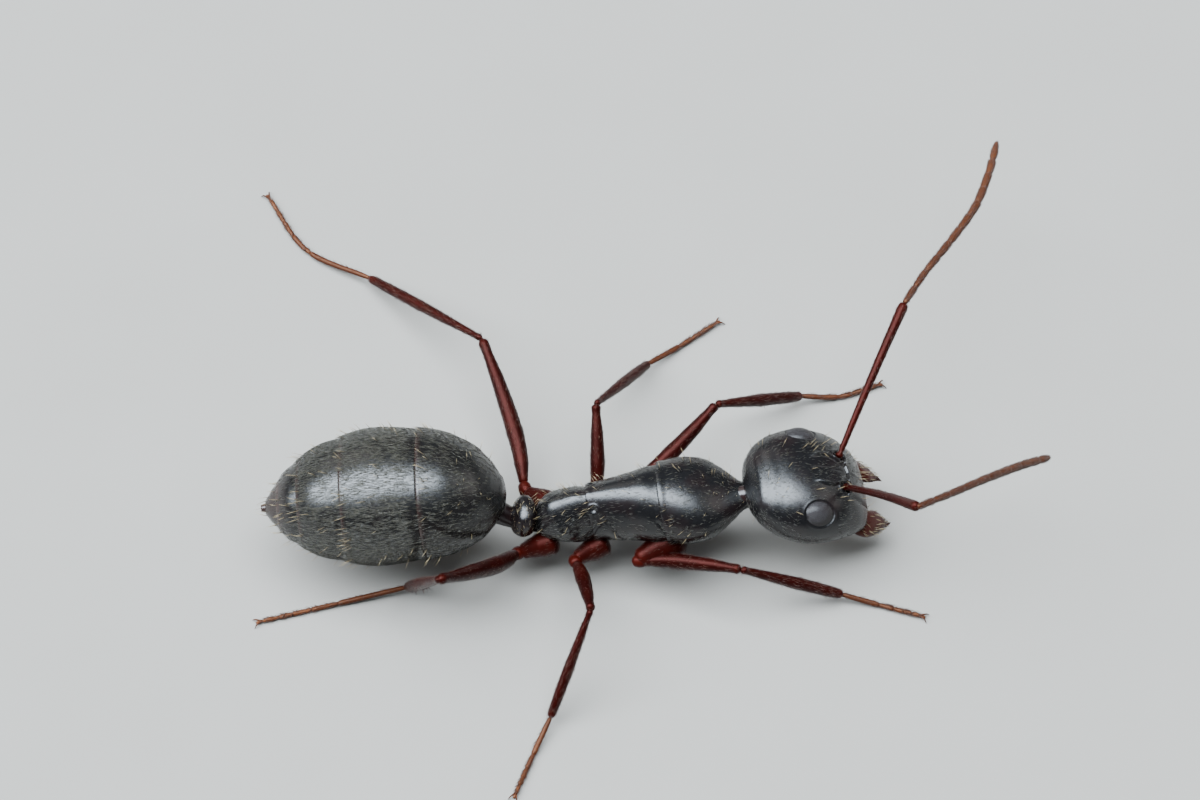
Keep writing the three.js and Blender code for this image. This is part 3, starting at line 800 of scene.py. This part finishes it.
def off_the_eyes(u, v):
    """Keeps the head's hair off its eyes."""
    ahead = np.abs(HEAD_REAR + (HEAD_FRONT - HEAD_REAR) * u - EYE_PLACE[0])
    return np.where((ahead < 0.3) & (np.abs(from_top(v) - 0.165) < 0.07), 0, 1)


def head_capsule():
    """The head's one shell, closed at the neck and behind the jaws, and its hair."""
    angles = around(280)
    t = np.linspace(0, 1, 200)
    places = HEAD_REAR + (HEAD_FRONT - HEAD_REAR) * (t - 0.09 * np.sin(2 * math.pi * t) / math.pi)
    skin = on_head(np.array([head_point(at, angles) for at in places]))
    rear = skin[0].mean(0) + (skin[0] - skin[0].mean(0)) * 0.6 + (skin[0] - skin[1]).mean(0)
    lip = on_head(head_point(HEAD_FRONT + 0.012, angles, -0.03) + (0.012, 0, 0))
    warm = 0.55 * ease(0.72, 0.98, places)
    solid("head_capsule", SHELL, "body_shell", "head", ([rear, *skin, lip], [0, *warm, 0.6]))

    down, bristles = Coat(), Coat()
    down.grow(skin, 2600, 0.065, 0.0024, 8, off_the_eyes, bend=0.12)
    down.build("head_down", DOWN, "body_shell")
    bristles.grow(skin, 46, 0.19, 0.005, 62,
                  lambda u, v: ease(0.22, 0.1, from_top(v)) * off_the_eyes(u, v), bend=0.45)
    bristles.grow(skin, 22, 0.16, 0.005, 60, lambda u, v: ease(0.36, 0.44, from_top(v)), bend=0.4)
    bristles.grow(skin, 34, 0.19, 0.0055, 30,
                  lambda u, v: ease(0.93, 0.98, u) * ease(0.2, 0.1, from_top(v)), bend=0.5)
    bristles.build("head_bristles", GOLD_HAIR, "body_shell")


head_capsule()


FACET = 0.0155          # from the middle of one eye facet to the next
FACET_DEPTH = 0.03
FACET_SHOULDER, FACET_PEAK = 0.0009, 0.0013     # how high its dome stands there
SHOULDER_SHARE = 0.55   # how far out a dome's shoulder is

# A facet's corners: six each of the rim and shoulder, the peak, six of the base, its middle.
CORNER = np.arange(6)
NEXT = (CORNER + 1) % 6
FACET_QUADS = np.concatenate([
    np.stack([CORNER, 6 + CORNER, 6 + NEXT, NEXT], -1),
    np.stack([CORNER, NEXT, 13 + NEXT, 13 + CORNER], -1)])
FACET_TRIANGLES = np.concatenate([
    np.stack([6 + CORNER, np.full(6, 12), 6 + NEXT], -1),
    np.stack([13 + CORNER, 13 + NEXT, np.full(6, 19)], -1)])


def facet_middles():
    """The middles of the facets in rows, on the eye laid out flat."""
    rows = int(EYE_HALF_SIZES[0] / FACET * 1.2) + 2
    row, column = np.meshgrid(np.arange(-rows, rows + 1), np.arange(-rows, rows + 1))
    middles = np.stack([(column + 0.5 * (row % 2)) * FACET, row * FACET * math.sqrt(3) / 2], -1)
    middles = middles.reshape(-1, 2)
    reach = np.hypot(middles[:, 0] / EYE_HALF_SIZES[0], middles[:, 1] / EYE_HALF_SIZES[2])
    return middles[reach < 0.97]


def on_ball(polar, bearing):
    """Points of a unit ball, by their angle from its outward pole and their bearing round it."""
    return np.stack([
        np.sin(polar) * np.cos(bearing), np.cos(polar) + 0 * bearing, np.sin(polar) * np.sin(bearing)], -1)


def eye(side):
    """A compound eye: six-sided facets, each a low dome, over a shallow egg-shaped cap."""
    mirror = np.array([1, SIDES[side], 1])
    turns = np.radians(30 + 60 * CORNER)
    hexagon = np.stack([np.cos(turns), np.sin(turns)], -1) * FACET / math.sqrt(3)

    def settle(points):
        """Sets points of the eye into the head."""
        return on_head((turned(points, "X", EYE_LIFT) + EYE_PLACE) * mirror)

    def cap(flat, swell):
        """Wraps the flat pattern of facets over the eye's bulge."""
        u, v = flat[..., 0] / EYE_HALF_SIZES[0], flat[..., 1] / EYE_HALF_SIZES[2]
        polar = np.clip(np.hypot(u, v), 0, 1.2) * math.pi / 2 * 0.98
        return settle(on_ball(polar, np.arctan2(v, u)) * (EYE_HALF_SIZES + swell))

    quads, triangles = FACET_QUADS, FACET_TRIANGLES
    if side == "left":
        quads, triangles = quads[:, ::-1], triangles[:, ::-1]
    shape = Shape()
    for middle in facet_middles():
        points = np.concatenate([
            cap(middle + hexagon, 0), cap(middle + hexagon * SHOULDER_SHARE, FACET_SHOULDER),
            cap(middle[None], FACET_PEAK),
            cap(middle + hexagon, -FACET_DEPTH), cap(middle[None], -FACET_DEPTH)])
        shape.add(points, [quads, triangles], 0.2)
    polar = np.linspace(0.92, 1.98, 16)[:, None] * math.pi / 2
    shape.add_rings(settle(on_ball(polar, full_turn(64)) * (EYE_HALF_SIZES - 0.003)))
    shape.build(f"compound_eye_{side}", EYE_SHELL, "eyes", f"eye_{side}")


JAW_OUTER = curve((0, 0.6), (0.25, 0.68), (0.5, 0.65), (0.75, 0.5), (0.92, 0.27), (1, 0.08))
JAW_INNER = curve((0, 0.28), (0.25, 0.2), (0.45, 0.1), (0.75, 0.06), (1, 0.035))
JAW_HALF_THICKNESS = curve((0, 0.15), (0.3, 0.14), (0.7, 0.09), (0.95, 0.045), (1, 0.015))
JAW_START, JAW_END = 0.72, 1.26
JAW_HINGE = np.array([0.84, 0.58, 0])
JAW_OPENING = 38
JAW_TEETH = ((0.5, 0.07), (0.6, 0.075), (0.7, 0.08), (0.8, 0.085), (0.89, 0.095), (0.97, 0.11))
PALPS = ((0.62, 165, 0.2), (0.4, 150, 0.1))     # length, heading, distance from the middle
PALP_LENGTHS = (1, 1, 1, 1.1, 1.1)
PALP_RADII = (0.026, 0.026, 0.025, 0.024, 0.022)


def jaw_reach(share):
    """How far forward a share of the closed jaw's length is."""
    return JAW_START + (JAW_END - JAW_START) * share


def jaw_level(share, sign):
    """The jaw's middle height: it curls down to its tip, and the left jaw closes over the right."""
    return -0.2 - 0.18 * share**2 + 0.018 * sign * share


def opened(points, sign):
    """Points of a closed jaw, turned outward about its hinge and set on the head."""
    hinge = JAW_HINGE * (1, sign, 1)
    return on_head(turned(np.asarray(points) - hinge, "Z", sign * JAW_OPENING) + hinge)


def teeth(sign):
    """Teeth along the edge that meets the other jaw, the longest at the tip."""
    t = np.linspace(0, 1, 8)
    for share, size in JAW_TEETH:
        level = jaw_level(share, sign) + 0.01
        root = np.array([jaw_reach(share) - 0.01, sign * (JAW_INNER(share) + 0.06), level])
        tip = root + (0.5 * size, -sign * (size + 0.02), -0.02)
        path = root + (tip - root) * t[:, None]
        yield opened(spike(path, 0.036, 12), sign), 0.8


def palps(sign):
    """The mouth's own small feelers, which hang under the jaw."""
    for reach, heading, spread in PALPS:
        root = np.array([JAW_START, sign * spread, -0.36])
        knee = root + reach * 0.4 * np.array([0.2, sign * 0.35, -0.75])
        tip = knee + reach * 0.6 * np.array([math.cos(math.radians(heading)), sign * 0.3, -0.45])
        for bead in segmented([root, knee, tip], PALP_LENGTHS, PALP_RADII, 10):
            yield on_head(bead), 0.0


def jaw(side):
    """A jaw: a bowed blade with teeth, and the palps under it."""
    sign = SIDES[side]
    shares = np.concatenate([np.linspace(0, 0.9, 30), 1 - 0.1 * (1 - np.linspace(0, 1, 10)[1:]) ** 2])
    across, rise = oval(around(56), 2.3)
    rings = []
    for share in shares:
        outer, inner = JAW_OUTER(share), JAW_INNER(share)
        arch = 0.05 * (1 - across**2) * (1 - share)
        rings.append(np.stack([
            np.full(len(across), jaw_reach(share)),
            sign * ((outer + inner) / 2 + (outer - inner) / 2 * across),
            jaw_level(share, sign) + arch + JAW_HALF_THICKNESS(share) * rise], -1))
    skin = opened(rings, sign)
    solid(f"jaw_{side}", JAW_SHELL, "jaws", f"mandible_{side}",
          (skin, ease(0.6, 1, shares) * 0.6), *teeth(sign), *palps(sign))
    bristles = Coat()
    bristles.grow(skin, 40, 0.13, 0.0055, 35,
                  lambda u, v: ease(0.2, 0.4, u) * (from_top(v) < 0.25), bend=0.5)
    bristles.build(f"jaw_hair_{side}", GOLD_HAIR, "jaws")


for head_side in SIDES:
    eye(head_side)
    jaw(head_side)


# ---- Feelers ----

WHIP_LENGTHS = (0.34, 0.36, 0.36, 0.35, 0.34, 0.33, 0.32, 0.32, 0.31, 0.31, 0.44)
WHIP_RADII = (0.05, 0.051, 0.054, 0.056, 0.058, 0.06, 0.061, 0.061, 0.061, 0.06, 0.057)


def feeler(side):
    """A scape from its socket to the elbow, then the eleven beads of the whip."""
    socket = on_head((SOCKET_PLACE[0], SIDES[side] * SOCKET_PLACE[1], 0.47))
    elbow = np.array(FEELERS[side]["elbow"])
    run = elbow - socket
    sag = np.array([0, 0, 0.06])
    shares = limb_shares(48, 0.02)
    radii = np.interp(shares, [0, 0.025, 0.04, 0.065, 0.3, 0.8, 0.965, 1],
                      [0.066, 0.066, 0.036, 0.048, 0.058, 0.076, 0.086, 0.07])
    path = along([socket, socket + run * 0.33 + sag, socket + run * 0.67 + sag, elbow], shares)
    skin = tube(path, domed(shares, radii, 0.02), 28)
    solid(f"scape_{side}", LIMB_SHELL, "limbs", f"antenna_scape_{side}",
          (skin, 0.1 + 0.15 * ease(0.85, 1, shares)))
    coat = Coat()
    coat.grow(skin, 600, 0.055, 0.0022, 14)
    coat.build(f"scape_hair_{side}", RED_HAIR, "limbs")
    coat = Coat()
    beads = segmented([elbow, *FEELERS[side]["whip"]], WHIP_LENGTHS, WHIP_RADII, 20)
    for index, bead in enumerate(beads):
        coat.grow(bead, 380, 0.05, 0.0022, 22, part=(index, len(beads)))
    solid(f"whip_{side}", TIP_SHELL, "limb_tips", f"antenna_funiculus_{side}",
          *((bead, 0.1 + 0.04 * index) for index, bead in enumerate(beads)))
    coat.build(f"whip_hair_{side}", RED_HAIR, "limb_tips")


for feeler_side in FEELERS:
    feeler(feeler_side)


# ---- Legs ----

def leg_joints(name):
    """A leg's joints, from its hip to the tip of its toe."""
    pair, side = name.split("_")
    lengths, stance = LEG_LENGTHS[pair], STANCE[name]

    def step_down(start, heading, length, height):
        """Where a part of this length ends, if its end is at this height."""
        rise = math.degrees(math.asin((height - start[2]) / length))
        return start + length * direction(heading, rise)

    hip = np.array(HIPS[pair]) * (1, SIDES[side], 1)
    coxa_end = hip + lengths["coxa"] * direction(*stance["coxa"])
    femur_start = coxa_end + lengths["trochanter"] * direction(*stance["femur"])
    knee = femur_start + lengths["femur"] * direction(*stance["femur"])
    ankle = step_down(knee, stance["tibia"], lengths["tibia"], ANKLE_HEIGHT)
    ball = step_down(ankle, stance["tarsus"][0], lengths["tarsus"] / 2, BALL_HEIGHT)
    toe = step_down(ball, stance["tarsus"][1], lengths["tarsus"] / 2, TOE_HEIGHT)
    return hip, coxa_end, femur_start, knee, ankle, ball, toe


LIMB = limb_shares()        # stations along each part, as shares of its length
TARSUS_LENGTHS = (0.47, 0.18, 0.13, 0.09, 0.13)
TARSUS_RADII = (0.045, 0.04, 0.038, 0.037, 0.035)


def bar(start, end):
    """A straight path for a leg part."""
    return start + (end - start) * LIMB[:, None]


def limb_skin(path, stations, widths, radius, dome, sides, flatness=1.0):
    """Rings round a leg part, from its widths at stations along it."""
    radii = np.interp(LIMB, stations, widths) * radius
    return tube(path, domed(LIMB, radii, dome), sides, flatness)


def limb_piece(part, name, *bodies, material=LIMB_SHELL, slot="limbs"):
    """A leg part, in place of its CAD node."""
    solid(f"{part}_shell_{name}", material, slot, f"{part}_{name}", *bodies)


def coxa(name, pair, hip, end, coat):
    """The stout part that hangs from the body."""
    skin = limb_skin(
        bar(hip, end), [0, 0.15, 0.45, 0.8, 1], [0.75, 1, 0.98, 0.68, 0.55], COXA_RADIUS[pair], 0.12, 36)
    coat.grow(skin, 160, 0.07, 0.0024, 12, part=(0, 3))
    limb_piece("coxa", name, (skin, 0.12 + 0.28 * ease(0.7, 1, LIMB)))


def trochanter(name, coxa_end, end):
    """The small joint between coxa and femur."""
    start = coxa_end - (end - coxa_end) * 0.3
    skin = limb_skin(bar(start, end), [0, 0.5, 1], [0.1, 0.112, 0.085], 1, 0.3, 28)
    limb_piece("trochanter", name, (skin, 0.45))


def femur(name, pair, femur_start, knee, coat):
    """The thigh, which bows outward and swells above its base."""
    run = knee - femur_start
    bow = unit(np.cross(run, (0, 0, 1)) * (1 if run[1] > 0 else -1)) * FEMUR_BOW[pair]
    start = femur_start - unit(run) * 0.07
    path = along([start, start + run * 0.28 + bow, start + run * 0.66 + bow * 0.8, knee], LIMB)
    skin = limb_skin(
        path, [0, 0.06, 0.14, 0.35, 0.7, 0.9, 0.96, 1], [0.5, 0.62, 0.84, 1, 0.8, 0.56, 0.62, 0.55],
        FEMUR_RADIUS[pair], 0.035, 32, 0.94)
    coat.grow(skin, int(210 * LEG_LENGTHS[pair]["femur"]), 0.07, 0.0024, 14, part=(1, 3))
    limb_piece("femur", name, (skin, 0.3 * ease(0.08, 0, LIMB) + 0.15 * ease(0.92, 1, LIMB)))


def tibia(name, pair, knee, ankle, ball, coat):
    """The shin, with a spur at its end and stiffer hairs along its inner side."""
    skin = limb_skin(
        bar(knee, ankle),
        [0, 0.03, 0.06, 0.2, 0.55, 0.85, 0.97, 1], [0.6, 0.66, 0.55, 0.72, 1, 0.92, 0.76, 0.6],
        TIBIA_RADIUS[pair], 0.03, 30, 0.9)
    coat.grow(skin, int(260 * LEG_LENGTHS[pair]["tibia"]), 0.075, 0.0026, 18, part=(2, 3))
    coat.grow(skin, 26, 0.11, 0.005, 42,
              lambda u, v: ease(0.3, 0.6, u) * mound(v - 0.75, 0.1), part=(2, 3))
    shin, ahead = unit(ankle - knee), unit((ball - ankle) * (1, 1, 0.4))
    spur = spur_skin(ankle - shin * 0.05 - (0, 0, 0.02), shin, ahead, 0.3 if pair == "front" else 0.22)
    limb_piece("tibia", name, (skin, 0.08 + 0.3 * ease(0.9, 1, LIMB)), (spur, 0.7))


def spur_skin(root, shin, ahead, size):
    """A curved spur at the end of the shin, kept above the floor."""
    path = along([
        root, root + (shin + ahead) * size * 0.3 - (0, 0, 0.02),
        root + (shin * 0.25 + ahead) * size * 0.8], np.linspace(0, 1, 14))
    path[:, 2] = np.maximum(path[:, 2], 0.024)
    return spike(path, 0.02, taper=0.6)


def tarsus(name, ankle, ball, toe):
    """Five foot segments, then two claws and the pad between them."""
    coat, bodies = Coat(), []
    beads = segmented([ankle, ball, toe], TARSUS_LENGTHS, TARSUS_RADII, 16)
    for index, bead in enumerate(beads):
        bodies.append((bead, 0.15 + 0.12 * index))
        coat.grow(bead, 130, 0.07, 0.0028, 28, part=(index, len(beads)), upward=True)
    ahead = unit((toe - ball) * (1, 1, 0))
    across = np.array([-ahead[1], ahead[0], 0])
    t = np.linspace(0, 1, 12)
    for side in (-1, 1):
        claw = along([
            toe - ahead * 0.03, toe + ahead * 0.06 + across * side * 0.045 + (0, 0, 0.014),
            toe + ahead * 0.11 + across * side * 0.085 - (0, 0, 0.048)], t)
        bodies.append((spike(claw, 0.017), 0.0))
    pad = toe + np.outer(t, ahead * 0.07 - (0, 0, 0.022))
    bodies.append((tube(pad, domed(t, np.full(12, 0.024), 0.3), 14), 0.6))
    limb_piece("tarsus", name, *bodies, material=TIP_SHELL, slot="limb_tips")
    coat.build(f"tarsus_hair_{name}", RED_HAIR, "limb_tips")


def leg(name):
    """A whole leg: the shells of its five parts, a coat for the leg and one for its foot."""
    pair = name.split("_")[0]
    hip, coxa_end, femur_start, knee, ankle, ball, toe = leg_joints(name)
    coat = Coat()
    coxa(name, pair, hip, coxa_end, coat)
    trochanter(name, coxa_end, femur_start)
    femur(name, pair, femur_start, knee, coat)
    tibia(name, pair, knee, ankle, ball, coat)
    coat.build(f"leg_hair_{name}", RED_HAIR, "limbs")
    tarsus(name, ankle, ball, toe)


for leg_name in STANCE:
    leg(leg_name)


# ---- Floor, light and camera ----

COOL_LIGHT = (0.8, 0.9, 1.0)
WARM_LIGHT = (1.0, 0.97, 0.92)


def floor():
    """A plain pale floor, level with the ant's feet."""
    half = 1.5
    corners = [(-half, -half, 0), (half, -half, 0), (half, half, 0), (-half, half, 0)]
    mesh = bpy.data.meshes.new("floor")
    mesh.from_pydata(corners, [], [(0, 1, 2, 3)])
    finish = Finish("floor_pale")
    tint = finish.blend(finish.noise(300), (0.168, 0.157, 0.139), (0.186, 0.174, 0.156))
    mesh.materials.append(finish.set(Base_Color=tint, Roughness=0.8))
    in_scene("floor", mesh)


def soft_light(name, heading, rise, distance, sizes, power, colour):
    """An oval lamp that faces the ant from a heading and rise, with sizes in metres."""
    lamp = bpy.data.lights.new(name, "AREA")
    lamp.shape = "ELLIPSE"
    lamp.size, lamp.size_y = sizes
    lamp.energy = power
    lamp.color = colour
    holder = in_scene(name, lamp)
    away = Vector(direction(heading, rise))
    holder.location = away * distance
    holder.rotation_mode = "QUATERNION"
    holder.rotation_quaternion = away.to_track_quat("Z", "Y")


def sky():
    """Faint even light from all round."""
    world = bpy.data.worlds.new("studio")
    world.use_nodes = True
    backdrop = world.node_tree.nodes["Background"]
    backdrop.inputs["Color"].default_value = (0.8, 0.88, 1.0, 1)
    backdrop.inputs["Strength"].default_value = 0.2
    bpy.context.scene.world = world


def camera():
    """Looks down at 60 degrees from the ant's right, turned a little in its own plane."""
    steepness, roll = 60, 1.5
    distance, view_width = 0.15, 0.0192
    target = Matrix.Translation(place((0.063, 2.08, 1.2)))
    tilt = Matrix.Rotation(math.radians(90 - steepness), 4, "X")
    lean = Matrix.Rotation(math.radians(-roll), 4, "Z")
    data = bpy.data.cameras.new("camera")
    data.sensor_width = 36
    data.lens = data.sensor_width * distance / view_width
    data.clip_start, data.clip_end = 0.001, 10
    viewer = in_scene("camera", data)
    viewer.matrix_world = target @ tilt @ lean @ Matrix.Translation((0, 0, distance))
    bpy.context.scene.camera = viewer


floor()
sky()
soft_light("key", 180, 70, 0.4, (0.3, 0.86), 18, COOL_LIGHT)
soft_light("key_halo", 180, 80, 0.45, (0.7, 1.1), 2, COOL_LIGHT)
soft_light("fill_left", 120, 35, 0.5, (0.3, 0.3), 0.4, WARM_LIGHT)
soft_light("fill_front", 10, 30, 0.5, (0.3, 0.3), 0.4, WARM_LIGHT)
camera()
